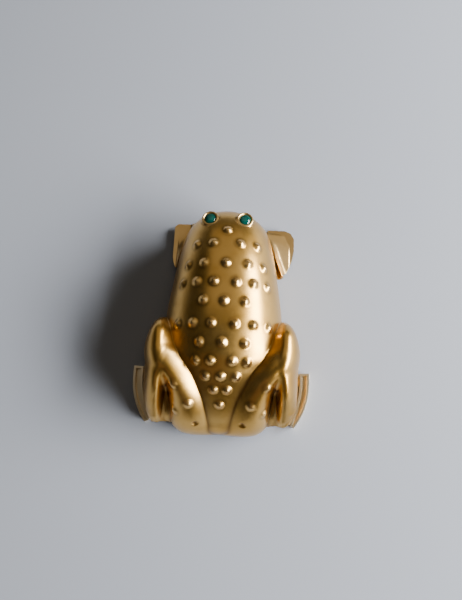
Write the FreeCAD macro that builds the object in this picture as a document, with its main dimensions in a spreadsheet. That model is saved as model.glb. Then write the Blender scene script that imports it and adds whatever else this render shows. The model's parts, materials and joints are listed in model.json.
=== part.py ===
import FreeCAD, Part
import Sketcher
import math
import os
from FreeCAD import Vector

# Tin jumping frog with a flat clockwork motor. Millimetres. +Y is the way the frog faces, +X its
# right side, +Z up, and Z = 0 is the table under its paws and soles.

doc = FreeCAD.newDocument("jumping_frog")
sheet = doc.addObject("Spreadsheet::Sheet", "sizes")

DRIVING_SIZES = {
    # stamped tin
    "tin_wall": 0.45,
    "rim_height": 2.6,
    "belly_floor": 5.5,
    "belly_sheet": 0.5,
    "eye_side": 4.4,
    "eye_front": 24.4,
    "eye_level": 17.5,
    "eye_radius": 1.4,
    "left_paw_reach": 15.6,
    "right_paw_reach": 19.0,
    # motor frame
    "frame_half_width": 10.2,
    "frame_front": 8.6,
    "frame_rear": -14.4,
    "lower_plate_level": 6.0,
    "upper_plate_level": 14.6,
    "motor_sheet": 0.6,
    "pillar_radius": 1.0,
    "front_pillar_side": 8.6,
    "front_pillar_front": 7.0,
    "rear_pillar_side": 9.0,
    "rear_pillar_front": -13.4,
    # wheelwork
    "gear_module": 0.4,
    "great_teeth": 40,
    "cam_wheel_teeth": 36,
    "pinion_teeth": 8,
    "winding_front": -1.4,
    "winding_radius": 1.4,
    "arbor_radius": 0.6,
    "running_gap": 0.03,
    "governor_angle": 10.0,
    "spring_low": 7.0,
    "spring_tall": 3.5,
    "spring_strip": 0.25,
    "great_wheel_level": 10.9,
    "great_wheel_thick": 0.7,
    "ratchet_level": 11.7,
    "ratchet_thick": 0.6,
    "ratchet_radius": 3.0,
    "cam_level": 12.5,
    "cam_thick": 0.8,
    "cam_wheel_level": 13.5,
    "cam_wheel_thick": 0.6,
    # hind legs
    "leg_axle_front": -17.0,
    "leg_axle_level": 8.25,
    "leg_axle_radius": 1.0,
    "leg_web_side": 9.5,
    "leg_sheet": 0.6,
    "kick_angle": 35.0,
    "follower_thick": 0.6,
    "follower_reach": 5.1,
    "cam_gap": 0.15,
    # winding key
    "key_half_width": 7.0,
    "key_low": 1.0,
    "key_high": 4.6,
    "key_sheet": 0.9,
}

for row, (alias, value) in enumerate(DRIVING_SIZES.items(), start=1):
    sheet.set("A%d" % row, alias)
    sheet.set("B%d" % row, str(value))
    sheet.setAlias("B%d" % row, alias)
doc.recompute()


def size(alias):
    """A driving size, as the sheet holds it."""
    return float(sheet.get(alias))


def turned(radius, degrees, centre=(0.0, 0.0)):
    """The point at this radius and angle about a centre, in plan."""
    angle = math.radians(degrees)
    return Vector(centre[0] + radius * math.cos(angle), centre[1] + radius * math.sin(angle), 0)


# ---------------------------------------------------------------- drawing helpers


def name_part(thing, label):
    thing.Label = label
    return thing


def code_part(label, shape):
    """A sub-part whose shape is worked out from the sheet's sizes by a formula."""
    feature = doc.addObject("Part::Feature", label)
    feature.Label = label
    feature.Shape = shape
    return feature


def new_body(label):
    body = doc.addObject("PartDesign::Body", label)
    body.Label = label
    return body


def new_sketch(body, name, level, plane="XY_Plane"):
    """A sketch on one of the body's own planes, raised to a level given as an expression."""
    sketch = body.newObject("Sketcher::SketchObject", name)
    flat = [face for face in body.Origin.OriginFeatures if face.Role == plane][0]
    sketch.AttachmentSupport = (flat, "")
    sketch.MapMode = "FlatFace"
    sketch.setExpression("AttachmentOffset.Base.z", level)
    return sketch


def bind(sketch, constraint, expression):
    """Adds a constraint to a sketch and gives it its value from the sheet."""
    number = sketch.addConstraint(constraint)
    sketch.setExpression("Constraints[%d]" % number, expression)


def draw_circle(sketch, x, y, radius):
    """A circle whose centre and radius are expressions."""
    circle = sketch.addGeometry(Part.Circle(Vector(1, 1, 0), Vector(0, 0, 1), 1), False)
    bind(sketch, Sketcher.Constraint("DistanceX", circle, 3, 1.0), x)
    bind(sketch, Sketcher.Constraint("DistanceY", circle, 3, 1.0), y)
    bind(sketch, Sketcher.Constraint("Radius", circle, 1.0), radius)


def draw_rectangle(sketch, left, right, rear, front):
    """A rectangle whose four sides are expressions."""
    corners = [(-1, -1), (1, -1), (1, 1), (-1, 1)]
    lines = []
    for n, start in enumerate(corners):
        end = corners[(n + 1) % 4]
        line = Part.LineSegment(Vector(start[0], start[1], 0), Vector(end[0], end[1], 0))
        lines.append(sketch.addGeometry(line, False))
    for n in range(4):
        sketch.addConstraint(Sketcher.Constraint("Coincident", lines[n], 2, lines[(n + 1) % 4], 1))
    for n in (0, 2):
        sketch.addConstraint(Sketcher.Constraint("Horizontal", lines[n]))
        sketch.addConstraint(Sketcher.Constraint("Vertical", lines[n + 1]))
    bind(sketch, Sketcher.Constraint("DistanceX", lines[0], 1, -1.0), left)
    bind(sketch, Sketcher.Constraint("DistanceX", lines[0], 2, 1.0), right)
    bind(sketch, Sketcher.Constraint("DistanceY", lines[0], 1, -1.0), rear)
    bind(sketch, Sketcher.Constraint("DistanceY", lines[1], 2, 1.0), front)


def add_pad(body, sketch, length, name):
    pad = body.newObject("PartDesign::Pad", name)
    pad.Profile = sketch
    pad.setExpression("Length", length)
    sketch.Visibility = False
    return pad


def add_pocket(body, sketch, length, name):
    """A cut upwards from the sketch."""
    pocket = body.newObject("PartDesign::Pocket", name)
    pocket.Profile = sketch
    pocket.Reversed = True
    pocket.setExpression("Length", length)
    sketch.Visibility = False
    return pocket


def disc(radius, low, high, x=0.0, y=0.0):
    """A plain upright cylinder between two levels."""
    return Part.makeCylinder(radius, high - low, Vector(x, y, low))


def block(x_range, y_range, z_range):
    """A plain box between three pairs of limits."""
    spans = [high - low for low, high in (x_range, y_range, z_range)]
    return Part.makeBox(spans[0], spans[1], spans[2], Vector(x_range[0], y_range[0], z_range[0]))


def prism(points, low, high):
    """An upright prism over a polygon drawn in plan."""
    ring = [Vector(p[0], p[1], low) for p in points]
    face = Part.Face(Part.makePolygon(ring + ring[:1]))
    return face.extrude(Vector(0, 0, high - low))


def thick_line(points, thickness):
    """The outline of a sheet of this thickness that follows a bent line, both ends square."""
    sides = [[], []]
    for n, (x, y) in enumerate(points):
        before = points[max(n - 1, 0)]
        after = points[min(n + 1, len(points) - 1)]
        into = Vector(x - before[0], y - before[1], 0)
        out = Vector(after[0] - x, after[1] - y, 0)
        into = into if into.Length > 0 else out
        out = out if out.Length > 0 else into
        into.normalize()
        out.normalize()
        mitre = Vector(-into.y - out.y, into.x + out.x, 0)
        mitre.normalize()
        reach = 0.5 * thickness / max(0.3, mitre.dot(Vector(-into.y, into.x, 0)))
        for side, sign in zip(sides, (1, -1)):
            side.append((x + sign * reach * mitre.x, y + sign * reach * mitre.y))
    return sides[0] + sides[1][::-1]


def mirrored(shape):
    """The same shape on the frog's other side."""
    return shape.mirror(Vector(0, 0, 0), Vector(1, 0, 0))


# ---------------------------------------------------------------- stamped tin


# Each lobe of the frog is drawn as arches across it: how far forward the arch stands, the middle
# of its span, half its span, and the level of its crown.
BACK_ARCHES = [
    (29.4, 0.0, 2.6, 9.0),
    (28.6, 0.0, 5.4, 12.6),
    (27.2, 0.0, 8.7, 15.6),
    (24.0, 0.0, 11.4, 18.6),
    (19.0, 0.0, 12.8, 20.6),
    (10.0, 0.0, 14.3, 22.2),
    (1.0, 0.0, 15.5, 22.5),
    (-8.0, 0.0, 15.6, 21.9),
    (-14.0, 0.0, 15.2, 19.6),
    (-20.0, 0.0, 13.6, 15.5),
    (-25.0, 0.0, 11.0, 10.6),
    (-28.6, 0.0, 8.0, 5.6),
]
THIGH_ARCHES = [
    (-0.4, 15.3, 1.8, 9.6),
    (-2.6, 15.1, 3.2, 14.8),
    (-7.0, 14.9, 5.2, 18.6),
    (-12.0, 13.4, 6.6, 19.5),
    (-17.0, 9.9, 4.4, 18.0),
    (-22.0, 7.5, 4.7, 14.0),
    (-26.0, 6.3, 4.6, 10.0),
    (-28.5, 5.9, 3.9, 6.6),
    (-29.4, 5.8, 2.4, 4.6),
]
SHIN_ARCHES = [
    (-6.0, 16.4, 3.2, 12.0),
    (-10.0, 16.7, 3.9, 17.4),
    (-14.0, 16.7, 4.0, 17.6),
    (-18.0, 16.7, 3.7, 15.2),
    (-22.0, 16.4, 3.2, 11.6),
    (-25.4, 15.9, 2.2, 7.4),
    (-27.0, 15.9, 1.2, 4.4),
]
POCKET_ARCHES = [
    (-13.0, 13.2, 2.4, 13.0),
    (-19.0, 12.6, 2.2, 8.4),
    (-25.6, 12.2, 2.2, 4.6),
]
ARCH_FULLNESS = 2.3
ARCH_POINTS = 11


def arch(front, middle, half_span, crown, foot):
    """One closed arch: a full round top that stands on straight sides down to its foot."""
    rim = size("rim_height")
    top = []
    for n in range(ARCH_POINTS):
        angle = math.pi * n / (ARCH_POINTS - 1)
        across = math.copysign(abs(math.cos(angle)) ** (2 / ARCH_FULLNESS), math.cos(angle))
        up = abs(math.sin(angle)) ** (2 / ARCH_FULLNESS)
        top.append(Vector(middle + half_span * across, front, rim + (crown - rim) * up))
    curve = Part.BSplineCurve()
    curve.interpolate(top)
    right = Vector(middle + half_span, front, foot)
    left = Vector(middle - half_span, front, foot)
    edges = [
        Part.LineSegment(right, top[0]).toShape(),
        curve.toShape(),
        Part.LineSegment(top[-1], left).toShape(),
        Part.LineSegment(left, right).toShape(),
    ]
    return Part.Wire(edges)


def lobe(arches, inset, foot):
    """A lobe through its arches, drawn in by an inset all round."""
    wires = []
    last = len(arches) - 1
    for n, (front, middle, half_span, crown) in enumerate(arches):
        if n == 0:
            front -= inset
        if n == last:
            front += inset
        wires.append(arch(front, middle, half_span - inset, crown - inset, foot))
    return Part.makeLoft(wires, True, False)


def frog_volume(inset, foot):
    """The whole volume under the frog's skin, from the back and both folded hind legs."""
    thigh = lobe(THIGH_ARCHES, inset, foot)
    shin = lobe(SHIN_ARCHES, inset, foot)
    pocket = lobe(POCKET_ARCHES, inset, foot)
    legs = [thigh, shin, pocket, mirrored(thigh), mirrored(shin), mirrored(pocket)]
    return lobe(BACK_ARCHES, inset, foot).multiFuse(legs)


def eye_axis(side):
    """Where an eye sits, and the way it looks."""
    seat = Vector(side * size("eye_side"), size("eye_front"), size("eye_level"))
    look = Vector(side * 0.1, 0.12, 1.0)
    look.normalize()
    return seat, look


def eye_socket(side):
    seat, look = eye_axis(side)
    return Part.makeCylinder(size("eye_radius") + 0.02, 4.0, seat - look * 2.0, look)


def make_back_shell(skin):
    """The stamped tin back: hollow, open below, with sockets for the eyes and four bent tabs."""
    hollow = frog_volume(size("tin_wall"), -2.0)
    rim = size("rim_height")
    floor = size("belly_floor")
    shell = skin.cut(hollow)
    shell = shell.cut(block((-40, 40), (-50, 50), (-5, rim)))
    for side in (1, -1):
        shell = shell.cut(eye_socket(side))
    tabs = []
    for front, reach in ((11.0, 12.2), (-7.0, 17.4)):
        for side in (1, -1):
            span = sorted((side * reach, side * (reach + 6.0)))
            tab = block(span, (front - 1.4, front + 1.4), (floor - 0.5, floor - 0.05))
            tabs.append(tab.common(skin))
    code_part("back_shell", shell.multiFuse(tabs))


def make_eye(side, label):
    """A round glass stone with a domed face, in its socket."""
    seat, look = eye_axis(side)
    radius = size("eye_radius")
    stem = Part.makeCylinder(radius, 1.9, seat - look * 1.0, look)
    ball = Part.makeSphere(1.6 * radius, seat - look * 1.45)
    code_part(label, stem.common(ball))


def make_belly_plate():
    """The flat tin floor that closes the belly, with a hole for the key and slots for the legs."""
    floor = size("belly_floor")
    inside = frog_volume(size("tin_wall") + 0.2, -2.0)
    slab = block((-40, 40), (-50, 50), (floor, floor + size("belly_sheet")))
    plate = inside.common(slab)
    low = floor - 1.0
    high = floor + 2.0
    plate = plate.cut(disc(size("winding_radius") + 0.3, low, high, 0, size("winding_front")))
    web = size("leg_web_side")
    axle = size("leg_axle_front")
    for side in (1, -1):
        span = sorted((side * (web - 0.6), side * (web + 0.6)))
        plate = plate.cut(block(span, (axle - 4.2, axle + 2.4), (low, high)))
    code_part("belly_plate", plate)


def paw(ridge, outer, ridge_level, rear, front):
    """One paw with its half of the strip: down from the belly, under the rim, up to a ridge and
    out to a flat edge on the table."""
    thickness = 0.5
    line = [(0.0, 5.2), (8.6, 5.2), (11.2, 1.5), (ridge - 0.6, 1.5), (ridge, ridge_level)]
    line += [(outer - 0.95, 0.5 * ridge_level), (outer - 0.8, 0.25), (outer, 0.25)]
    ring = [Vector(x, 10.0, z) for x, z in thick_line(line, thickness)]
    strip = Part.Face(Part.makePolygon(ring + ring[:1])).extrude(Vector(0, 24.0, 0))
    outline = [(10.4, 15.2), (ridge - 1.8, rear), (ridge + 1.0, rear + 0.4), (outer, rear + 4.4)]
    outline += [(outer, front - 5.0), (outer - 1.2, front - 1.8), (outer - 3.4, front)]
    outline += [(11.2, front - 1.2), (11.0, 21.0), (10.4, 19.4), (0.0, 19.4), (0.0, 15.2)]
    return strip.common(prism(outline, -1.0, 8.0))


def make_front_legs():
    """Both paws as one strip of tin. The strip sits off the middle, so the right paw reaches out
    further than the left one."""
    right = paw(14.4, size("right_paw_reach"), 3.9, 13.6, 29.4)
    left = mirrored(paw(14.1, size("left_paw_reach"), 2.8, 15.2, 29.0))
    code_part("front_legs", right.fuse(left).removeSplitter())


# ---------------------------------------------------------------- motor frame


def governor_centre():
    """The governor's arbor stands one mesh away from the cam's arbor."""
    reach = size("gear_module") * (size("cam_wheel_teeth") + size("pinion_teeth")) / 2
    spot = turned(reach, size("governor_angle"), (0.0, cam_front()))
    return spot.x, spot.y


def cam_front():
    """The cam's arbor stands one mesh behind the winding arbor."""
    mesh = size("gear_module") * (size("great_teeth") + size("pinion_teeth")) / 2
    return size("winding_front") - mesh


def pillar_spots():
    spots = []
    for side in (1, -1):
        spots.append((side * size("front_pillar_side"), size("front_pillar_front")))
        spots.append((side * size("rear_pillar_side"), size("rear_pillar_front")))
    return spots


def make_motor_plate(label, level):
    """One of the two flat plates that hold the arbors, drilled for every arbor and pillar."""
    body = new_body(label)
    level_text = "sizes." + level
    outline = new_sketch(body, label + "_outline", level_text)
    draw_rectangle(
        outline, "-sizes.frame_half_width", "sizes.frame_half_width", "sizes.frame_rear",
        "sizes.frame_front",
    )
    pad = add_pad(body, outline, "sizes.motor_sheet", label + "_sheet")
    doc.recompute()
    upright = [
        "Edge%d" % (n + 1) for n, edge in enumerate(pad.Shape.Edges)
        if abs(edge.tangentAt(edge.FirstParameter).z) > 0.99
    ]
    corners = body.newObject("PartDesign::Fillet", label + "_corners")
    corners.Base = (pad, upright)
    corners.Radius = 2.2
    holes = new_sketch(body, label + "_holes", level_text + " - 1")
    pillar = "sizes.pillar_radius * 0.6 + sizes.running_gap"
    for side in ("", "-"):
        draw_circle(holes, side + "sizes.front_pillar_side", "sizes.front_pillar_front", pillar)
        draw_circle(holes, side + "sizes.rear_pillar_side", "sizes.rear_pillar_front", pillar)
    bore = "sizes.arbor_radius + sizes.running_gap"
    cam_y = "(sizes.winding_front - sizes.gear_module * (sizes.great_teeth + sizes.pinion_teeth) / 2)"
    reach = "sizes.gear_module * (sizes.cam_wheel_teeth + sizes.pinion_teeth) / 2"
    winding = "sizes.winding_radius + sizes.running_gap" if level[:5] == "lower" else bore
    draw_circle(holes, "0", "sizes.winding_front", winding)
    draw_circle(holes, "0", cam_y, bore)
    draw_circle(
        holes, reach + " * cos(sizes.governor_angle * 1deg)",
        cam_y + " + " + reach + " * sin(sizes.governor_angle * 1deg)", bore,
    )
    add_pocket(body, holes, "sizes.motor_sheet + 2", label + "_drilling")
    return body


def make_motor_pillars():
    """Four turned pillars, each with a thinner riveted end through both plates."""
    radius = size("pillar_radius")
    low = size("lower_plate_level")
    high = size("upper_plate_level")
    sheet_thick = size("motor_sheet")
    pillars = []
    for x, y in pillar_spots():
        waist = disc(radius, low + sheet_thick, high, x, y)
        pin = disc(radius * 0.6, low, high + sheet_thick + 0.05, x, y)
        head = disc(radius * 0.95, high + sheet_thick, high + sheet_thick + 0.35, x, y)
        pillars.append(waist.multiFuse([pin, head]))
    code_part("motor_pillars", Part.makeCompound(pillars))


# ---------------------------------------------------------------- wheelwork


def tooth_outline(teeth, module, start):
    """A spur gear's outline: involute flanks, with stub teeth and a little play at the pitch line."""
    pressure = math.radians(25)
    pitch_radius = module * teeth / 2
    base = pitch_radius * math.cos(pressure)
    tip = pitch_radius + 0.72 * module
    root = pitch_radius - 0.95 * module
    play = 0.05
    flank_zero = math.tan(pressure) - pressure
    half_tooth = (math.pi * module / 2 - play) / 2 / pitch_radius + flank_zero
    flank = []
    steps = 4
    for n in range(steps + 1):
        radius = max(base, root) + (tip - max(base, root)) * n / steps
        roll = math.sqrt(max(0.0, (radius / base) ** 2 - 1))
        flank.append((radius, half_tooth - (roll - math.atan(roll))))
    if root < base:
        flank.insert(0, (root, half_tooth))
    points = []
    for tooth in range(int(teeth)):
        middle = math.radians(start) + 2 * math.pi * tooth / teeth
        for radius, half in flank:
            points.append((radius * math.cos(middle - half), radius * math.sin(middle - half)))
        for radius, half in reversed(flank):
            points.append((radius * math.cos(middle + half), radius * math.sin(middle + half)))
    return points


def gear(teeth, start, centre, low, high):
    outline = tooth_outline(teeth, size("gear_module"), start)
    return prism([(x + centre[0], y + centre[1]) for x, y in outline], low, high)


def make_great_wheel():
    """The first wheel, loose on the winding arbor, with five round openings and the click's stud."""
    centre = (0.0, size("winding_front"))
    low = size("great_wheel_level")
    high = low + size("great_wheel_thick")
    wheel = gear(size("great_teeth"), -90.0, centre, low, high)
    wheel = wheel.cut(disc(size("winding_radius") + size("running_gap"), low - 1, high + 1, *centre))
    for n in range(5):
        spot = turned(5.3, 72.0 * n + 54.0, centre)
        wheel = wheel.cut(disc(1.35, low - 1, high + 1, spot.x, spot.y))
    code_part("great_wheel", wheel)


CLICK_ANGLE = 18.0
CLICK_RADIUS = 5.4


def make_click():
    """The click, its stud and its spring, carried round by the great wheel over the ratchet."""
    centre = (0.0, size("winding_front"))
    low = size("ratchet_level")
    high = low + size("ratchet_thick")
    stud_spot = turned(CLICK_RADIUS, CLICK_ANGLE, centre)
    stud = disc(0.45, low - 0.1, high + 0.1, stud_spot.x, stud_spot.y)
    head = disc(0.8, high + 0.03, high + 0.13, stud_spot.x, stud_spot.y)
    code_part("click_stud", stud.fuse(head))
    nose = turned(size("ratchet_radius") + 0.08, CLICK_ANGLE + 52.0, centre)
    heel = turned(size("ratchet_radius") + 0.75, CLICK_ANGLE + 50.0, centre)
    inner = turned(CLICK_RADIUS - 0.85, CLICK_ANGLE + 4.0, centre)
    outer = turned(CLICK_RADIUS + 0.85, CLICK_ANGLE + 4.0, centre)
    arm = prism([(p.x, p.y) for p in (nose, heel, outer, inner)], low, high)
    eye = disc(0.95, low, high, stud_spot.x, stud_spot.y)
    hole = disc(0.48, low - 1, high + 1, stud_spot.x, stud_spot.y)
    code_part("click", arm.fuse(eye).cut(hole).removeSplitter())
    blade = [turned(r, a, centre) for r, a in ((7.0, 22.0), (6.95, 40.0), (6.0, 54.0), (4.55, 62.0))]
    strip = prism(thick_line([(p.x, p.y) for p in blade], 0.2), low, high)
    foot = turned(7.0, 20.0, centre)
    pin = disc(0.35, low - 0.1, high, foot.x, foot.y)
    code_part("click_spring", strip.fuse(pin).removeSplitter())


def make_ratchet_wheel():
    """Saw teeth round the winding arbor."""
    centre = (0.0, size("winding_front"))
    low = size("ratchet_level")
    high = low + size("ratchet_thick")
    teeth = 14
    tip = size("ratchet_radius")
    points = []
    for n in range(teeth):
        start = 360.0 * n / teeth
        points.append(turned(tip, start, centre))
        points.append(turned(tip - 0.5, start + 2.0, centre))
    wheel = prism([(p.x, p.y) for p in points], low, high)
    hole = disc(size("arbor_radius") * 1.5 + 0.01, low - 1, high + 1, *centre)
    code_part("ratchet_wheel", wheel.cut(hole))


def make_winding_arbor():
    """The thick arbor from the key up through the belly to the upper plate."""
    y = size("winding_front")
    top = size("upper_plate_level") + size("motor_sheet") + 0.3
    shaft = disc(size("winding_radius"), size("key_high"), size("ratchet_level") - 0.05, 0, y)
    neck = disc(size("arbor_radius") * 1.5, size("ratchet_level") - 0.06, size("upper_plate_level") - 0.3, 0, y)
    pivot = disc(size("arbor_radius"), size("upper_plate_level") - 0.31, top, 0, y)
    tang = disc(size("arbor_radius") * 1.5, size("key_low") + 0.6, size("key_high") + 0.01, 0, y)
    code_part("winding_arbor", shaft.multiFuse([neck, pivot, tang]))


def make_winding_key():
    """A flat wing key on the arbor's lower end: a hub and two rounded wings, each with a hole."""
    y = size("winding_front")
    low = size("key_low")
    high = size("key_high")
    half = size("key_half_width")
    thick = size("key_sheet")
    middle = (low + high) / 2
    wing_radius = (high - low) / 2
    wing = block((-half + wing_radius, half - wing_radius), (y - thick / 2, y + thick / 2), (low, high))
    ends = []
    holes = []
    for side in (1, -1):
        spot = Vector(side * (half - wing_radius), y - thick / 2, middle)
        ends.append(Part.makeCylinder(wing_radius, thick, spot, Vector(0, 1, 0)))
        spot = Vector(side * (half - wing_radius - 0.3), y - thick, middle)
        holes.append(Part.makeCylinder(wing_radius * 0.5, 2 * thick, spot, Vector(0, 1, 0)))
    hub = disc(1.7, low, high, 0, y)
    bore = disc(size("arbor_radius") * 1.5 + 0.005, low + 0.6, high + 1, 0, y)
    key = wing.multiFuse(ends + [hub]).cut(Part.makeCompound(holes)).cut(bore)
    code_part("winding_key", key)


def make_mainspring():
    """A flat strip wound in a spiral from the arbor, its outer end looped round a front pillar."""
    y = size("winding_front")
    low = size("spring_low")
    thick = size("spring_strip")
    turns = 7.0
    inner = size("winding_radius") + 0.25
    outer = 7.4
    pillar = (size("front_pillar_side"), size("front_pillar_front"))
    loop = size("pillar_radius") + 0.05 + thick / 2
    away = math.atan2(pillar[1] - y, pillar[0])
    reach = math.hypot(pillar[0], pillar[1] - y)
    # the last straight run leaves the coil and meets the loop at a common tangent
    swing = math.acos((outer - loop) / reach)
    leave = away - swing
    centre_line = []
    steps = int(turns * 24)
    for n in range(steps + 1):
        part = n / steps
        angle = leave - 2 * math.pi * turns * (1 - part)
        radius = inner + (outer - inner) * part
        centre_line.append((radius * math.cos(angle), y + radius * math.sin(angle)))
    for n in range(13):
        angle = leave + math.radians(20.0 * n)
        centre_line.append((pillar[0] + loop * math.cos(angle), pillar[1] + loop * math.sin(angle)))
    strip = prism(thick_line(centre_line, thick), low, low + size("spring_tall"))
    code_part("mainspring", strip)


def cam_radius(lift):
    """The cam's reach when the legs have come down by a share of their swing, from 0 to 1."""
    lean = math.radians(size("kick_angle") * (lift - 0.5))
    axle = size("leg_axle_level")
    low = size("cam_level") - axle
    high = low + size("cam_thick")
    lead = high if lean > 0 else low
    face = lead * math.tan(lean) + size("follower_thick") / 2 / math.cos(lean)
    gap = cam_front() - size("leg_axle_front")
    return gap - face - size("cam_gap")


def make_snail_cam():
    """The snail cam: it draws the legs up over 300 degrees of turn, then lets them go at one step."""
    centre = (0.0, cam_front())
    points = []
    points.append(turned(cam_radius(0.0), -102.0, centre))
    steps = 60
    for n in range(steps + 1):
        points.append(turned(cam_radius(n / steps), -90.0 + 300.0 * n / steps, centre))
    for n in range(1, 7):
        points.append(turned(cam_radius(1.0), 210.0 + 8.0 * n, centre))
    low = size("cam_level")
    high = low + size("cam_thick")
    cam = prism([(p.x, p.y) for p in points], low, high)
    code_part("snail_cam", cam.cut(disc(size("arbor_radius") * 1.5 + 0.01, low - 1, high + 1, *centre)))


def make_cam_arbor():
    """The cam's arbor, cut in one with its pinion."""
    y = cam_front()
    low = size("lower_plate_level")
    top = size("upper_plate_level") + size("motor_sheet") + 0.2
    pivot = disc(size("arbor_radius"), low, top, 0, y)
    stem = disc(size("arbor_radius") * 1.5, low + 1.0, size("upper_plate_level") - 0.2, 0, y)
    half_tooth = 180.0 / size("pinion_teeth")
    level = size("great_wheel_level")
    pinion = gear(size("pinion_teeth"), 90.0 + half_tooth, (0.0, y), level - 0.3, level + 1.3)
    code_part("cam_arbor", pivot.multiFuse([stem, pinion]))


def make_cam_wheel():
    """The second wheel, above the cam on the same arbor, with four round openings."""
    centre = (0.0, cam_front())
    low = size("cam_wheel_level")
    high = low + size("cam_wheel_thick")
    wheel = gear(size("cam_wheel_teeth"), size("governor_angle"), centre, low, high)
    wheel = wheel.cut(disc(size("arbor_radius") * 1.5 + 0.01, low - 1, high + 1, *centre))
    for n in range(4):
        spot = turned(4.4, 90.0 * n + 45.0, centre)
        wheel = wheel.cut(disc(1.4, low - 1, high + 1, spot.x, spot.y))
    code_part("cam_wheel", wheel)


def make_governor():
    """The quick arbor with its pinion, and the two-winged fly that brakes the motor."""
    x, y = governor_centre()
    low = size("lower_plate_level")
    top = size("upper_plate_level") + size("motor_sheet") + 0.2
    half_tooth = 180.0 / size("pinion_teeth")
    level = size("cam_wheel_level")
    pivot = disc(size("arbor_radius"), low, top, x, y)
    pinion = gear(
        size("pinion_teeth"), size("governor_angle") + 180.0 + half_tooth, (x, y), level - 0.2, level + 0.8,
    )
    code_part("governor_arbor", pivot.fuse(pinion))
    vane = block((x - 2.5, x + 2.5), (y - 0.2, y + 0.2), (7.4, 11.8))
    sleeve = disc(0.95, 7.4, 11.8, x, y)
    bore = disc(size("arbor_radius") + 0.005, 7.0, 12.0, x, y)
    code_part("governor_fly", vane.fuse(sleeve).cut(bore))


# ---------------------------------------------------------------- hind legs


def along_axle(radius, left, right):
    """A cylinder on the leg axle's line, from left to right."""
    start = Vector(left, size("leg_axle_front"), size("leg_axle_level"))
    return Part.makeCylinder(radius, right - left, start, Vector(1, 0, 0))


def make_leg_axle():
    reach = size("leg_web_side") + 0.9
    pin = along_axle(size("leg_axle_radius"), -reach, reach)
    code_part("leg_axle", pin)


def make_axle_bracket():
    """A U of sheet on the belly floor whose two ears carry the leg axle."""
    y = size("leg_axle_front")
    level = size("lower_plate_level")
    thick = size("motor_sheet")
    side = 8.0
    ears = []
    for sign in (1, -1):
        span = sorted((sign * (side - thick), sign * side))
        ears.append(block(span, (y - 1.6, y + 1.6), (level, size("leg_axle_level"))))
        ears.append(along_axle(1.6, span[0], span[1]))
    base = block((-side, side), (y - 1.6, y + 1.6), (level, level + thick))
    bore = along_axle(size("leg_axle_radius") + size("running_gap"), -20, 20)
    code_part("axle_bracket", base.multiFuse(ears).cut(bore).removeSplitter())


# The right foot seen from above: points on its middle line, each with half the foot's width there.
FOOT_LINE = [
    (22.1, -12.5, 1.25),
    (22.15, -15.3, 1.25),
    (21.9, -18.2, 1.25),
    (21.15, -21.2, 1.2),
    (20.15, -24.0, 0.95),
    (18.95, -26.5, 0.55),
]


def foot_plan(inset):
    """The crescent of a hind foot, in plan, drawn in by an inset."""
    middle = Part.BSplineCurve()
    middle.interpolate([Vector(x, y, 0) for x, y, _ in FOOT_LINE])
    sides = [[], []]
    for x, y, half_width in FOOT_LINE:
        along = middle.tangent(middle.parameter(Vector(x, y, 0)))[0]
        across = Vector(along.y, -along.x, 0) * max(0.12, half_width - inset)
        shift = along * (inset * (1 if (x, y) == FOOT_LINE[0][:2] else -1 if (x, y) == FOOT_LINE[-1][:2] else 0))
        sides[0].append(Vector(x, y, 0) + across + shift)
        sides[1].append(Vector(x, y, 0) - across + shift)
    curves = []
    for side in sides:
        curve = Part.BSplineCurve()
        curve.interpolate(side)
        curves.append(curve.toShape())
    heel = Part.LineSegment(sides[0][-1], sides[1][-1]).toShape()
    toe = Part.LineSegment(sides[1][0], sides[0][0]).toShape()
    return Part.Face(Part.Wire([curves[0], heel, curves[1], toe]))


def make_hind_leg(side, label):
    """A hind leg: a web down from the axle, a sole under the rim, and the foot as a raised gutter."""
    y = size("leg_axle_front")
    thick = size("leg_sheet")
    web = size("leg_web_side")
    axle = size("leg_axle_level")
    foot_height = 3.3
    x_range = (web - thick / 2, web + thick / 2)
    arm = block(x_range, (y - 1.2, y + 1.4), (0.0, axle))
    boss = along_axle(1.7, x_range[0], x_range[1])
    ankle = block(x_range, (y - 1.2, y + 4.4), (0.0, thick))
    sole = block((x_range[0], 21.6), (y + 1.2, y + 4.4), (0.0, thick))
    gutter = foot_plan(0.0).extrude(Vector(0, 0, foot_height))
    inside = foot_plan(0.6).extrude(Vector(0, 0, foot_height))
    inside.translate(Vector(0, 0, foot_height - 1.5))
    foot = gutter.cut(inside)
    leg = arm.multiFuse([boss, ankle, sole, foot])
    leg = leg.cut(along_axle(size("leg_axle_radius") + 0.005, -20, 20))
    code_part(label, leg if side > 0 else mirrored(leg))


def make_cam_follower():
    """The blade on the axle that the cam pushes. At rest it leans back by half of the kick."""
    y = size("leg_axle_front")
    axle = size("leg_axle_level")
    thick = size("follower_thick")
    blade = block((-0.8, 0.8), (y - thick / 2, y + thick / 2), (axle, axle + size("follower_reach")))
    boss = along_axle(1.5, -0.8, 0.8)
    follower = blade.fuse(boss)
    follower.rotate(Vector(0, y, axle), Vector(1, 0, 0), size("kick_angle") / 2)
    follower = follower.cut(along_axle(size("leg_axle_radius") + 0.005, -20, 20))
    code_part("cam_follower", follower)


def make_kick_spring():
    """A coil of wire round the axle, one end on the bracket's floor and one on the blade."""
    y = size("leg_axle_front")
    axle = size("leg_axle_level")
    radius = 1.45
    wire_radius = 0.17
    pitch = 0.5
    coil_length = 3.0
    helix = Part.makeHelix(pitch, coil_length, radius)
    ring = Part.Wire(Part.makeCircle(wire_radius, Vector(radius, 0, 0), Vector(0, 1, 0)))
    coil = Part.Wire(helix).makePipeShell([ring], True, True)
    coil.rotate(Vector(0, 0, 0), Vector(0, 1, 0), 90)
    coil.translate(Vector(2.6, y, axle))
    code_part("kick_spring", coil)


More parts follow.
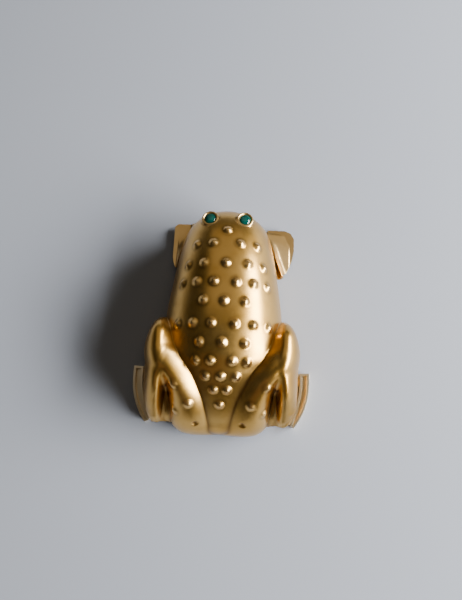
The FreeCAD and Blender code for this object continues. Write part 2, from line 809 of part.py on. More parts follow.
skin = frog_volume(0.0, -1.0)
make_back_shell(skin)
make_eye(-1, "left_eye")
make_eye(1, "right_eye")
make_belly_plate()
make_front_legs()
make_motor_plate("lower_motor_plate", "lower_plate_level")
make_motor_plate("upper_motor_plate", "upper_plate_level")
make_motor_pillars()
make_great_wheel()
make_click()
make_ratchet_wheel()
make_winding_arbor()
make_winding_key()
make_mainspring()
make_snail_cam()
make_cam_arbor()
make_cam_wheel()
make_governor()
make_leg_axle()
make_axle_bracket()
make_hind_leg(-1, "left_hind_leg")
make_hind_leg(1, "right_hind_leg")
make_cam_follower()
make_kick_spring()

doc.recompute()

NODES = [
    "back_shell", "left_eye", "right_eye", "belly_plate", "front_legs", "lower_motor_plate",
    "upper_motor_plate", "motor_pillars", "great_wheel", "click_stud", "click", "click_spring",
    "ratchet_wheel", "winding_arbor", "winding_key", "mainspring", "snail_cam", "cam_arbor",
    "cam_wheel", "governor_arbor", "governor_fly", "leg_axle", "axle_bracket", "left_hind_leg",
    "right_hind_leg", "cam_follower", "kick_spring",
]

for thing in doc.Objects:
    if "Invalid" in thing.State or "Error" in thing.State:
        raise RuntimeError("%s did not recompute: %s" % (thing.Label, thing.State))

os.makedirs("parts", exist_ok=True)
for label in NODES:
    shape = doc.getObjectsByLabel(label)[0].Shape
    if shape.isNull() or not shape.isValid():
        raise RuntimeError(label + " has no valid shape")
    shape.exportStep("parts/" + label + ".step")
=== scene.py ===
import json
import math

import bmesh
import bpy
import numpy as np
from mathutils import Matrix, Vector


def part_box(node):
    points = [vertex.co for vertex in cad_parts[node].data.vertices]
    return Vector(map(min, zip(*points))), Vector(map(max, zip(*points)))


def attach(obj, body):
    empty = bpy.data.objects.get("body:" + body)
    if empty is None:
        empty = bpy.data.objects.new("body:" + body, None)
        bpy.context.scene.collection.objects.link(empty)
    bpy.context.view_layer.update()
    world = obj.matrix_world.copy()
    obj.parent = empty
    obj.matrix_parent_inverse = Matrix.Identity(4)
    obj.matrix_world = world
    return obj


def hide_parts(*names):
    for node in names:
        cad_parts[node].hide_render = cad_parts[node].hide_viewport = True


# The look of a small tin jumping frog: gold lacquer over stamped tin, green glass eyes, and a
# brass and steel motor. Shapes are worked out in millimetres and put into metres at the end.

MM = 0.001

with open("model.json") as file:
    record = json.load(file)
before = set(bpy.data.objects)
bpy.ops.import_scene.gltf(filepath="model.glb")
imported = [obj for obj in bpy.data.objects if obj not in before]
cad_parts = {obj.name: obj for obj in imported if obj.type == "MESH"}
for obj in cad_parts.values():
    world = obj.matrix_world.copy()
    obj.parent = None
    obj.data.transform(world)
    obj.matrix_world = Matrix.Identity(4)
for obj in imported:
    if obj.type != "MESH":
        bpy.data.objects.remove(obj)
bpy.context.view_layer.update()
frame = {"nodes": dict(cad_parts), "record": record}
nodes = frame["nodes"]


# ---------------------------------------------------------------- places taken from the frame


def box_mm(node):
    """A CAD node's lowest and highest corners, in millimetres."""
    low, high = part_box(node)
    return low / MM, high / MM


shell_low, shell_high = box_mm("back_shell")
RIM = shell_low.z
NOSE = shell_high.y
TAIL = shell_low.y
CROWN = shell_high.z
TIN = 0.45


# ---------------------------------------------------------------- the frog's form

# Each lobe is a row of arches across the frog: how far forward, how far out the ridge runs, the
# spans inside and outside the ridge, and how far the ridge stands over the rim. Both ends close
# to a point.
BACK = [
    (NOSE, 0.0, 0.0, 0.0, 0.0),
    (28.6, 0.0, 5.4, 5.4, 10.4),
    (27.2, 0.0, 8.7, 8.7, 13.2),
    (24.0, 0.0, 11.4, 11.4, 16.0),
    (19.0, 0.0, 12.8, 12.8, 18.0),
    (10.0, 0.0, 14.3, 14.3, 19.6),
    (1.0, 0.0, 15.5, 15.5, CROWN - RIM),
    (-2.0, 0.0, 15.7, 15.7, 19.8),
    (-5.0, 0.0, 17.0, 17.0, 19.6),
    (-8.0, 0.0, 18.0, 18.0, 19.1),
    (-10.4, 0.0, 18.8, 18.8, 18.6),
    (-14.0, 0.0, 16.3, 16.3, 17.0),
    (-18.0, 0.0, 13.2, 13.2, 14.4),
    (-22.0, 0.0, 10.4, 10.4, 11.1),
    (-26.0, 0.0, 7.4, 7.4, 7.2),
    (-28.6, 0.0, 4.6, 4.6, 3.8),
    (-29.2, 0.0, 0.0, 0.0, 0.0),
]
THIGH = [
    (0.2, 15.0, 0.0, 0.0, 0.0),
    (-0.6, 15.2, 1.6, 1.5, 9.6),
    (-2.6, 15.1, 3.4, 3.2, 15.0),
    (-5.0, 14.9, 6.0, 4.4, 17.0),
    (-8.0, 14.8, 9.0, 5.2, 17.3),
    (-10.4, 14.4, 14.0, 5.4, 17.6),
    (-12.5, 13.5, 15.4, 5.6, 17.5),
    (-14.5, 12.2, 15.2, 4.8, 17.1),
    (-18.0, 10.0, 13.5, 3.9, 15.3),
    (-22.0, 7.9, 10.4, 5.2, 12.5),
    (-26.0, 6.8, 8.2, 5.7, 8.8),
    (-28.8, 6.3, 7.6, 3.6, 4.2),
    (TAIL - 0.1, 5.8, 0.0, 0.0, 0.0),
]
SHIN = [
    (0.0, 15.6, 0.0, 0.0, 0.0),
    (-0.8, 15.6, 1.4, 1.3, 7.0),
    (-3.0, 15.3, 2.0, 3.4, 13.2),
    (-6.0, 14.9, 1.8, 4.9, 16.2),
    (-10.0, 14.6, 1.5, 5.6, 17.1),
    (-14.0, 14.6, 1.3, 5.4, 16.6),
    (-18.0, 15.0, 1.4, 5.0, 14.8),
    (-22.0, 15.7, 1.6, 4.0, 11.2),
    (-25.4, 16.1, 1.6, 2.5, 6.2),
    (-27.0, 16.3, 1.2, 1.3, 2.6),
    (-27.5, 16.4, 0.0, 0.0, 0.0),
]
POCKET = [
    (-13.0, 13.4, 0.0, 0.0, 0.0),
    (-15.0, 13.4, 2.4, 2.4, 11.0),
    (-19.0, 13.6, 2.8, 2.8, 7.6),
    (-24.0, 13.8, 2.8, 2.8, 4.4),
    (-26.0, 13.8, 2.6, 2.6, 2.0),
    (-26.6, 13.8, 0.0, 0.0, 0.0),
]
# How wide the round at the bottom of each crease is.
VALLEY = 0.22
KNEE_BLEND = 0.4
POCKET_BLEND = 0.4
# Where the arches start to change to their rear fullness, and over what length.
REAR_START = -1.0
REAR_LENGTH = 8.0
CURVE_STEPS = 1600
LEAST_SQUARE = 1e-4


def smooth(value):
    """An even rise from 0 to 1 as the value goes from 0 to 1."""
    t = np.clip(value, 0, 1)
    return t * t * (3 - 2 * t)


def smooth_table(stations, column, squared):
    """A smooth curve through one column of a lobe, as fine steps along the frog."""
    rows = sorted(stations)
    y = np.array([row[0] for row in rows])
    v = np.array([row[column] for row in rows])
    if squared:
        v = v * v
    step = np.diff(y)
    slope = np.diff(v) / step
    tangent = np.zeros_like(v)
    same = slope[:-1] * slope[1:] > 0
    weight_a = 2 * step[1:] + step[:-1]
    weight_b = step[1:] + 2 * step[:-1]
    safe_a = np.where(same, slope[:-1], 1)
    safe_b = np.where(same, slope[1:], 1)
    mean = (weight_a + weight_b) / (weight_a / safe_a + weight_b / safe_b)
    tangent[1:-1] = np.where(same, mean, 0)
    tangent[0] = slope[0]
    tangent[-1] = slope[-1]
    fine = np.linspace(y[0], y[-1], CURVE_STEPS)
    n = np.clip(np.searchsorted(y, fine) - 1, 0, len(step) - 1)
    t = (fine - y[n]) / step[n]
    value = (
        v[n] * (1 + 2 * t) * (1 - t) ** 2
        + step[n] * tangent[n] * t * (1 - t) ** 2
        + v[n + 1] * t * t * (3 - 2 * t)
        + step[n] * tangent[n + 1] * t * t * (t - 1)
    )
    return fine, value


def make_lobe(stations, fullness):
    """A lobe's smooth curves, ready to be read at any place along the frog."""
    return {
        "ends": (min(row[0] for row in stations), max(row[0] for row in stations)),
        "ridge": smooth_table(stations, 1, False),
        "inner": smooth_table(stations, 2, True),
        "outer": smooth_table(stations, 3, True),
        "rise": smooth_table(stations, 4, True),
        "fullness": fullness,
    }


# How full the arches are inside and outside the ridge, in front and at the rear: 2 is an
# ellipse, and less is a plainer slope. The back grows plainer towards the tail.
LOBES = [
    make_lobe(BACK, ((2.3, 2.3), (2.0, 2.0))),
    make_lobe(THIGH, ((1.5, 2.3), (1.5, 2.3))),
    make_lobe(SHIN, ((1.9, 1.9), (1.9, 1.9))),
    make_lobe(POCKET, ((2.0, 2.0), (2.0, 2.0))),
]


def lobe_depth(lobe, x, y, z):
    """How far inside a lobe a point lies, in millimetres or nearly so; negative outside."""
    out = x - np.interp(y, *lobe["ridge"])
    inner = np.sqrt(np.maximum(np.interp(y, *lobe["inner"]), LEAST_SQUARE))
    outer = np.sqrt(np.maximum(np.interp(y, *lobe["outer"]), LEAST_SQUARE))
    rise = np.sqrt(np.maximum(np.interp(y, *lobe["rise"]), LEAST_SQUARE))
    span = np.where(out < 0, inner, outer)
    across = np.abs(out) / span
    up = np.maximum(z - RIM, 0) / rise
    rear = smooth((REAR_START - y) / REAR_LENGTH)
    (front_in, front_out), (rear_in, rear_out) = lobe["fullness"]
    full_in = front_in + (rear_in - front_in) * rear
    full_out = front_out + (rear_out - front_out) * rear
    full = np.where(out < 0, full_in, full_out)
    reach = (across**full + up**full) ** (1 / full)
    past = np.maximum(0, np.maximum(lobe["ends"][0] - y, y - lobe["ends"][1]))
    return (1 - reach) * np.minimum(np.minimum(inner, outer), rise) - past


def join_depth(a, b, radius):
    """The union of two forms with a small round valley between them."""
    near = np.maximum(radius - np.abs(a - b), 0) / radius
    return np.maximum(a, b) + near * near * radius / 4


def frog_depth(points):
    """How far inside the whole frog each point lies."""
    x = np.abs(points[:, 0])
    y = points[:, 1]
    z = points[:, 2]
    back, thigh, shin, pocket = [lobe_depth(lobe, x, y, z) for lobe in LOBES]
    leg = join_depth(join_depth(thigh, shin, KNEE_BLEND), pocket, POCKET_BLEND)
    return join_depth(back, leg, VALLEY)


TINY = 0.01
LEAST_SLOPE = 0.02
LONGEST_MOVE = 0.8


def frog_slope(points):
    """The depth of each point, and the way in which the depth grows."""
    depth = frog_depth(points)
    slope = np.empty_like(points)
    for axis in range(3):
        moved = points.copy()
        moved[:, axis] += TINY
        slope[:, axis] = (frog_depth(moved) - depth) / TINY
    return depth, slope


def settle(points, inset, rounds, on_rim=None):
    """Moves points onto the frog's skin, or onto a skin drawn in by an inset. Points on the rim
    stay level."""
    for _ in range(rounds):
        depth, slope = frog_slope(points)
        if on_rim is not None:
            slope[on_rim, 2] = 0
        size = np.maximum((slope**2).sum(1), LEAST_SLOPE)
        move = -((depth - inset) / size)[:, None] * slope
        length = np.sqrt((move**2).sum(1))
        move *= np.minimum(1, LONGEST_MOVE / np.maximum(length, 1e-9))[:, None]
        points = points + move
    return points


def skin_normals(points):
    """The way out of the skin at each point."""
    _, slope = frog_slope(points)
    return -slope / np.maximum(np.sqrt((slope**2).sum(1)), 1e-9)[:, None]


# ---------------------------------------------------------------- warts and eye collars

# Rows of warts over the back: how far forward, and how far out to the side. A wart off the
# middle line has a twin on the other side.
BACK_WARTS = [
    (20.4, [0.0]),
    (16.8, [3.3, 7.6]),
    (11.4, [0.0, 5.3, 9.3]),
    (6.65, [2.6, 6.8, 10.4]),
    (2.0, [0.0, 4.9]),
    (-3.4, [2.7, 7.1, 10.9]),
    (-7.8, [0.0, 5.3]),
    (-12.0, [2.5, 6.0]),
    (-15.4, [0.0, 3.6]),
    (-18.4, [1.6]),
    (-21.8, [0.0]),
]
# The warts and the dent on each thigh: how far forward, and how far out.
THIGH_WARTS = [(-17.7, 11.2), (-22.0, 7.4), (-23.4, 11.0)]
THIGH_DENT = (-26.5, 5.8)
WART_RADIUS = 1.55
WART_HEIGHT = 0.66
THIGH_WART_SHARE = 0.62
DENT_RADIUS = 1.05
DENT_DEPTH = 0.45
COLLAR_RADIUS = 1.85
COLLAR_WIDTH = 0.6
COLLAR_HEIGHT = 0.6
SEAT_DEPTH = 0.5
SEAT_WALL = 0.3
SKIN_STEPS = 400
# How far the eyes sit from the middles of their CAD stones.
RIGHT_EYE_IN = 0.35
LEFT_EYE_OUT = 0.1
EYES_BACK = 0.45


def on_skin(side, forward):
    """The point of the skin above a place in plan."""
    levels = np.linspace(RIM, CROWN + 1, SKIN_STEPS)
    column = np.column_stack([
        np.full(SKIN_STEPS, side), np.full(SKIN_STEPS, forward), levels])
    depth = frog_depth(column)
    inside = levels[depth > 0]
    return np.array([side, forward, inside.max() if len(inside) else RIM])


def wart_places():
    """The middle of every wart on the back."""
    places = []
    for forward, sides in BACK_WARTS:
        for side in sides:
            places.append(on_skin(side, forward))
            if side > 0:
                places.append(on_skin(-side, forward))
    return places


def thigh_wart_places():
    """The middle of every wart on the thighs."""
    return [on_skin(way * side, forward) for forward, side in THIGH_WARTS for way in (1, -1)]


def wart_heights():
    """Every wart with its height; those on the thighs are lower."""
    tall = [(place, WART_HEIGHT) for place in wart_places()]
    return tall + [(place, THIGH_WART_SHARE * WART_HEIGHT) for place in thigh_wart_places()]


def dent_places():
    """The middle of the dent on each thigh."""
    forward, out = THIGH_DENT
    return [on_skin(side * out, forward) for side in (1, -1)]


def eye_place(side):
    """Where an eye stone sits on the skin, and the way it looks."""
    low, high = box_mm("right_eye" if side > 0 else "left_eye")
    middle = (low + high) / 2
    shift = RIGHT_EYE_IN if side > 0 else LEFT_EYE_OUT
    seat = on_skin(middle.x - shift, middle.y - EYES_BACK)
    look = np.array([0.12 * side, 0.16, 1.0])
    return seat, look / np.sqrt((look**2).sum())


def emboss(points, normals):
    """Raises the warts and the eye collars, and says how proud each point is and how much painted
    shade it takes.
    """
    lift = np.zeros(len(points))
    proud = np.zeros(len(points))
    # Painted shade: a dark ring round the foot of each wart, the dents, and the gaps round the eye
    # collars.
    painted_shade = np.zeros(len(points))
    for place, height in wart_heights():
        far = np.sqrt(((points - place) ** 2).sum(1)) / WART_RADIUS
        dome = 0.5 + 0.5 * np.cos(math.pi * np.minimum(far, 1))
        lift += height * dome
        proud = np.maximum(proud, dome)
        painted_shade = np.maximum(painted_shade, 0.5 * np.exp(-(((far - 0.95) / 0.25) ** 2)))
    for dent in dent_places():
        far = np.sqrt(((points - dent) ** 2).sum(1)) / DENT_RADIUS
        cup = np.maximum(0, 1 - far**2) ** 1.5
        lift -= DENT_DEPTH * cup
        painted_shade = np.maximum(painted_shade, cup)
    moved = points + normals * lift[:, None]
    for side in (1, -1):
        seat, look = eye_place(side)
        away = moved - seat
        along = away @ look
        far = np.sqrt(np.maximum((away**2).sum(1) - along**2, 0))
        near = (np.abs(along) < 3.4) & (far < 3)
        ring = np.maximum(0, 1 - ((far - COLLAR_RADIUS) / COLLAR_WIDTH) ** 2) ** 0.8 * near
        pit = np.clip((COLLAR_RADIUS - SEAT_WALL - far) / SEAT_WALL, 0, 1) * near
        level = COLLAR_HEIGHT * ring + np.minimum(along, 0) * (1 - ring)
        target = np.where(pit > 0, COLLAR_HEIGHT * ring - SEAT_DEPTH * pit, level)
        share = np.clip(ring * 1.6 + pit, 0, 1) * near
        moved = moved + look * ((target - along) * share)[:, None]
        proud = np.maximum(proud, ring)
        gap = np.exp(-(((far - COLLAR_RADIUS - COLLAR_WIDTH) / 0.25) ** 2)) * near
        painted_shade = np.maximum(painted_shade, gap * 0.7)
    return moved, proud, painted_shade


def valley_shade_mask(points):
    """How much painted shade the creases take where two lobes meet: 1 in them, fading away from them.
    """
    x = np.abs(points[:, 0])
    y = points[:, 1]
    back, thigh, shin, pocket = [lobe_depth(lobe, x, y, points[:, 2]) for lobe in LOBES]
    leg = np.maximum(np.maximum(thigh, shin), pocket)
    notch = np.exp(-(((pocket - np.maximum(thigh, shin)) / 0.9) ** 2))
    flank = np.exp(-(((back - leg) / 0.6) ** 2)) * (0.25 + 0.75 * smooth((-6 - y) / 6))
    return np.maximum(flank, notch)


# ---------------------------------------------------------------- mesh helpers


def read_points(mesh):
    """A mesh's corners as rows of x, y and z."""
    return np.array([v.co[:] for v in mesh.verts])


def write_points(mesh, points):
    """Moves a mesh's corners to new places."""
    for vertex, point in zip(mesh.verts, points):
        vertex.co = point


def finish_piece(mesh, name, body, material):
    """Turns a mesh drawn in millimetres into a finished object that rides on a CAD body."""
    bmesh.ops.scale(mesh, vec=(MM, MM, MM), verts=mesh.verts)
    for face in mesh.faces:
        face.smooth = True
    data = bpy.data.meshes.new(name)
    mesh.to_mesh(data)
    mesh.free()
    piece = bpy.data.objects.new(name, data)
    bpy.context.scene.collection.objects.link(piece)
    data.materials.append(material)
    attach(piece, body)
    return piece


CLOTH_HALF_WIDTH = 19
CLOTH_HALF_LENGTH = 28
CLOTH_HEIGHT = 16
EVENING_ROUNDS = 70


def dome_grid(columns, rows, inset):
    """A grid drawn over the frog like a cloth, evened out, and settled onto its skin."""
    mesh = bmesh.new()
    bmesh.ops.create_grid(mesh, x_segments=columns, y_segments=rows, size=1.0)
    flat = read_points(mesh)
    u = flat[:, 0] * np.sqrt(1 - flat[:, 1] ** 2 / 2)
    v = flat[:, 1] * np.sqrt(1 - flat[:, 0] ** 2 / 2)
    out = np.minimum(np.hypot(u, v), 1)
    turn = np.arctan2(v, u)
    level = out * math.pi / 2
    points = np.column_stack([
        CLOTH_HALF_WIDTH * np.sin(level) * np.cos(turn),
        CLOTH_HALF_LENGTH * np.sin(level) * np.sin(turn),
        RIM + CLOTH_HEIGHT * np.cos(level),
    ])
    edge = np.max(np.abs(flat[:, :2]), axis=1) > 1 - 1e-5
    order = np.lexsort((np.round(flat[:, 0], 5), np.round(flat[:, 1], 5)))
    wide = columns + 1
    tall = rows + 1
    points[edge, 2] = RIM
    for _ in range(EVENING_ROUNDS):
        net = points[order].reshape(tall, wide, 3)
        mean = net.copy()
        mean[1:-1, 1:-1] = (net[:-2, 1:-1] + net[2:, 1:-1] + net[1:-1, :-2] + net[1:-1, 2:]) / 4
        mean[0, 1:-1] = (net[0, :-2] + net[0, 2:]) / 2
        mean[-1, 1:-1] = (net[-1, :-2] + net[-1, 2:]) / 2
        mean[1:-1, 0] = (net[:-2, 0] + net[2:, 0]) / 2
        mean[1:-1, -1] = (net[:-2, -1] + net[2:, -1]) / 2
        points[order] = mean.reshape(-1, 3)
        points[edge, 2] = RIM
        points = settle(points, inset, 1, edge)
    points = settle(points, inset, 4, edge)
    points[edge, 2] = RIM
    write_points(mesh, points)
    return mesh


def refine_near(mesh, places, reach):
    """Halves the grid's cells near some places, so that what is raised there comes out round."""
    points = read_points(mesh)
    close = np.zeros(len(points), bool)
    for place in places:
        close |= ((points - place) ** 2).sum(1) < reach**2
    mesh.verts.ensure_lookup_table()
    edges = [e for e in mesh.edges if close[e.verts[0].index] and close[e.verts[1].index]]
    bmesh.ops.subdivide_edges(mesh, edges=edges, cuts=1, use_grid_fill=True)
    mesh.verts.index_update()


NOSE_DEPTH = 3
NOSE_PATCH = 2.4
NOSE_TIP = 1.9
NOSE_BLEND = 0.9


def round_nose(points):
    """Evens the very tip of the nose, where the back's arches shrink to nothing."""
    x = points[:, 0]
    up = points[:, 2] - RIM
    far = np.sqrt(x**2 + up**2)
    front = points[:, 1] > NOSE - NOSE_DEPTH
    terms = np.stack([np.ones_like(x), x**2, up, up**2], axis=1)
    ring = front & (far > NOSE_TIP - NOSE_BLEND) & (far < NOSE_PATCH)
    fit = np.linalg.lstsq(terms[ring], points[ring, 1], rcond=None)[0]
    blend = smooth((NOSE_TIP - far) / NOSE_BLEND) * front
    points[:, 1] += blend * (terms @ fit - points[:, 1])


def relax_nose(mesh):
    """Unfolds the net at the very tip of the nose."""
    points = read_points(mesh)
    far = np.hypot(points[:, 0], points[:, 2] - RIM)
    close = (far < NOSE_PATCH) & (points[:, 1] > NOSE - NOSE_DEPTH)
    near = [vertex for vertex, inside in zip(mesh.verts, close) if inside]
    rim = {vertex: vertex.co.z for vertex in near if vertex.is_boundary}
    for _ in range(60):
        bmesh.ops.smooth_vert(
            mesh, verts=near, factor=0.5, use_axis_x=True, use_axis_y=True, use_axis_z=True)
        for vertex, level in rim.items():
            vertex.co.z = level


def build_back_shell():
    """The outer skin with its warts, dents and eye collars, and its two masks."""
    outer = dome_grid(210, 280, 0.0)
    eyes = [eye_place(side)[0] for side in (1, -1)]
    refine_near(outer, wart_places() + thigh_wart_places(), WART_RADIUS + 0.15)
    refine_near(outer, eyes, COLLAR_RADIUS + 1.35)
    refine_near(outer, dent_places(), DENT_RADIUS + 0.45)
    points = settle(read_points(outer), 0.0, 2)
    points[:, 2] = np.maximum(points[:, 2], RIM)
    write_points(outer, points)
    relax_nose(outer)
    points = read_points(outer)
    round_nose(points)
    normals = skin_normals(points)
    points, proud, painted_shade = emboss(points, normals)
    # The creases between the lobes take painted shade as well, more of it along the flanks towards the
    # tail.
    painted_shade = np.maximum(painted_shade, valley_shade_mask(points))
    write_points(outer, points)
    return outer, proud, painted_shade


def close_shell(outer, proud, painted_shade):
    """Adds the plain inside of the tin to the outer skin and joins the two round the rim. At the
    nose and the tail the inside is drawn in a little more, to stay under the skin."""
    mask = outer.verts.layers.float.new("proud")
    shade_layer = outer.verts.layers.float.new("painted_shade")
    for vertex, p, h in zip(outer.verts, proud, painted_shade):
        vertex[mask] = p
        vertex[shade_layer] = h
    inner = dome_grid(84, 112, TIN)
    points = read_points(inner)
    tail = smooth((TAIL + NOSE_DEPTH - points[:, 1]) / NOSE_DEPTH)
    nose = smooth((points[:, 1] - NOSE + NOSE_DEPTH) / NOSE_DEPTH)
    points[:, 1] += 0.8 * TIN * (tail - nose)
    write_points(inner, points)
    bmesh.ops.reverse_faces(inner, faces=inner.faces)
    data = bpy.data.meshes.new("inside_of_tin")
    inner.to_mesh(data)
    inner.free()
    outer.from_mesh(data)
    bpy.data.meshes.remove(data)
    edges = [e for e in outer.edges if e.is_boundary]
    bmesh.ops.bridge_loops(outer, edges=edges)
    return outer


# ---------------------------------------------------------------- materials


def new_material(name):
    """A material with its node tree and its shader."""
    material = bpy.data.materials.new(name)
    material.use_nodes = True
    tree = material.node_tree
    shader = tree.nodes["Principled BSDF"]
    return material, tree, shader


def add_node(tree, kind, **values):
    """A new node with some of its settings."""
    node = tree.nodes.new(kind)
    for name, value in values.items():
        setattr(node, name, value)
    return node


def make_patina_group():
    """Shared by every metal: a cloudy colour change, fine grain, and darker or brighter places."""
    group = bpy.data.node_groups.new("metal_patina", "ShaderNodeTree")
    sockets = [
        ("Bright Color", "INPUT", "NodeSocketColor"),
        ("Dark Color", "INPUT", "NodeSocketColor"),
        ("Cloud Size", "INPUT", "NodeSocketFloat"),
        ("Grain Size", "INPUT", "NodeSocketFloat"),
        ("Roughness", "INPUT", "NodeSocketFloat"),
        ("Roughness Spread", "INPUT", "NodeSocketFloat"),
        ("Color", "OUTPUT", "NodeSocketColor"),
        ("Roughness", "OUTPUT", "NodeSocketFloat"),
        ("Grain", "OUTPUT", "NodeSocketFloat"),
    ]
    for name, way, kind in sockets:
        group.interface.new_socket(name=name, in_out=way, socket_type=kind)
    inputs = add_node(group, "NodeGroupInput")
    outputs = add_node(group, "NodeGroupOutput")
    place = add_node(group, "ShaderNodeTexCoord")
    cloud = add_node(group, "ShaderNodeTexNoise")
    cloud.inputs["Detail"].default_value = 4.0
    grain = add_node(group, "ShaderNodeTexNoise")
    grain.inputs["Detail"].default_value = 6.0
    grain.inputs["Roughness"].default_value = 0.65
    blend = add_node(group, "ShaderNodeMix", data_type="RGBA")
    soft = add_node(group, "ShaderNodeMapRange", interpolation_type="SMOOTHSTEP")
    soft.inputs["From Min"].default_value = 0.35
    soft.inputs["From Max"].default_value = 0.68
    scatter = add_node(group, "ShaderNodeMath", operation="MULTIPLY_ADD")
    centred = add_node(group, "ShaderNodeMath", operation="SUBTRACT")
    centred.inputs[1].default_value = 0.5
    link = group.links.new
    link(place.outputs["Object"], cloud.inputs["Vector"])
    link(place.outputs["Object"], grain.inputs["Vector"])
    link(inputs.outputs["Cloud Size"], cloud.inputs["Scale"])
    link(inputs.outputs["Grain Size"], grain.inputs["Scale"])
    link(cloud.outputs["Fac"], soft.inputs["Value"])
    link(soft.outputs["Result"], blend.inputs["Factor"])
    link(inputs.outputs["Bright Color"], blend.inputs["A"])
    link(inputs.outputs["Dark Color"], blend.inputs["B"])
    link(blend.outputs["Result"], outputs.inputs["Color"])
    link(grain.outputs["Fac"], centred.inputs[0])
    link(centred.outputs["Value"], scatter.inputs[0])
    link(inputs.outputs["Roughness Spread"], scatter.inputs[1])
    link(inputs.outputs["Roughness"], scatter.inputs[2])
    link(scatter.outputs["Value"], outputs.inputs["Roughness"])
    link(grain.outputs["Fac"], outputs.inputs["Grain"])
    return group


PATINA = make_patina_group()
GRAIN_DEPTH = 0.0001


def use_patina(tree, bright, dark, cloud, grain, roughness, spread):
    """Places the shared patina in one material, with that material's values."""
    node = add_node(tree, "ShaderNodeGroup", node_tree=PATINA)
    node.inputs["Bright Color"].default_value = (*bright, 1)
    node.inputs["Dark Color"].default_value = (*dark, 1)
    node.inputs["Cloud Size"].default_value = cloud
    node.inputs["Grain Size"].default_value = grain
    node.inputs["Roughness"].default_value = roughness
    node.inputs["Roughness Spread"].default_value = spread
    return node


def add_bump(tree, shader, height, strength):
    """Lets a fine grain stir the surface."""
    bump = add_node(tree, "ShaderNodeBump")
    bump.inputs["Strength"].default_value = strength
    bump.inputs["Distance"].default_value = GRAIN_DEPTH
    tree.links.new(height, bump.inputs["Height"])
    tree.links.new(bump.outputs["Normal"], shader.inputs["Normal"])


def plain_metal(name, bright, dark, roughness):
    """Bare metal of the motor and the key."""
    material, tree, shader = new_material(name)
    patina = use_patina(tree, bright, dark, 160.0, 2600.0, roughness, 0.2)
    shader.inputs["Metallic"].default_value = 1.0
    tree.links.new(patina.outputs["Color"], shader.inputs["Base Color"])
    tree.links.new(patina.outputs["Roughness"], shader.inputs["Roughness"])
    add_bump(tree, shader, patina.outputs["Grain"], 0.05)
    return material


GOLD_BRIGHT = (0.7, 0.43, 0.12)
GOLD_DEEP = (0.58, 0.325, 0.065)
# A dark tint of painted shade, laid into the creases, wart rims, dents and collar gaps.
GOLD_PAINTED_SHADE = (0.16, 0.08, 0.02)
GOLD_WORN = (0.85, 0.66, 0.36)


def lacquered_tin(name, shaped, bright=GOLD_BRIGHT, deep=GOLD_DEEP):
    """Gold lacquer over tin. A shaped piece has its own masks: painted shade in its creases and
    hollows, and paler wear on its proud places.
    """
    material, tree, shader = new_material(name)
    patina = use_patina(tree, bright, deep, 110.0, 900.0, 0.3, 0.1)
    shader.inputs["Metallic"].default_value = 1.0
    shader.inputs["Coat Weight"].default_value = 0.12
    shader.inputs["Coat Roughness"].default_value = 0.18
    color = patina.outputs["Color"]
    if shaped:
        # The first mask darkens with painted shade; the second pales the proud places as wear.
        for mask, tint, share in (("painted_shade", GOLD_PAINTED_SHADE, 0.72), ("proud", GOLD_WORN, 0.35)):
            attribute = add_node(tree, "ShaderNodeAttribute", attribute_name=mask)
            amount = add_node(tree, "ShaderNodeMath", operation="MULTIPLY")
            amount.inputs[1].default_value = share
            mix = add_node(tree, "ShaderNodeMix", data_type="RGBA")
            mix.inputs["B"].default_value = (*tint, 1)
            tree.links.new(attribute.outputs["Fac"], amount.inputs[0])
            tree.links.new(amount.outputs["Value"], mix.inputs["Factor"])
            tree.links.new(color, mix.inputs["A"])
            color = mix.outputs["Result"]
    tree.links.new(color, shader.inputs["Base Color"])
    tree.links.new(patina.outputs["Roughness"], shader.inputs["Roughness"])
    add_bump(tree, shader, patina.outputs["Grain"], 0.03)
    return material


def green_glass():
    """Deep green glass with a faint swirl."""
    material, tree, shader = new_material("green_glass")
    place = add_node(tree, "ShaderNodeTexCoord")
    swirl = add_node(tree, "ShaderNodeTexNoise")
    swirl.inputs["Scale"].default_value = 700.0
    mix = add_node(tree, "ShaderNodeMix", data_type="RGBA")
    mix.inputs["A"].default_value = (0.0, 0.03, 0.022, 1)
    mix.inputs["B"].default_value = (0.0, 0.1, 0.083, 1)
    tree.links.new(place.outputs["Object"], swirl.inputs["Vector"])
    tree.links.new(swirl.outputs["Fac"], mix.inputs["Factor"])
    tree.links.new(mix.outputs["Result"], shader.inputs["Base Color"])
    shader.inputs["Roughness"].default_value = 0.06
    shader.inputs["Transmission Weight"].default_value = 0.35
    shader.inputs["IOR"].default_value = 1.52
    return material


# The feet are painted much paler than the paws, a painted sheen for the bright light on their rims;
# the paws too are paler than the rest.
SHAPED_GOLD = lacquered_tin("gold_lacquer_shaped", True)
PLAIN_GOLD = lacquered_tin("gold_lacquer", False)
PAW_GOLD = lacquered_tin("gold_lacquer_paws", False, (0.77, 0.54, 0.25), (0.66, 0.43, 0.16))
FOOT_GOLD_PAINTED_SHEEN = lacquered_tin("gold_lacquer_painted_sheen", False, (0.93, 0.8, 0.58), (0.84, 0.68, 0.42))
GREEN_GLASS = green_glass()
BRASS = plain_metal("rolled_brass", (0.78, 0.58, 0.27), (0.66, 0.46, 0.19), 0.3)
STEEL = plain_metal("bright_steel", (0.6, 0.6, 0.6), (0.45, 0.45, 0.46), 0.28)
BLUED = plain_metal("blued_spring_steel", (0.2, 0.24, 0.36), (0.13, 0.14, 0.2), 0.3)

FINISHES = {
    "gold_tin": PLAIN_GOLD,
    "green_glass": GREEN_GLASS,
    "brass_sheet": BRASS,
    "bright_steel": STEEL,
    "spring_steel": BLUED,
}


FOOT_EDGE = 0.27
CUT_EDGE = 0.08


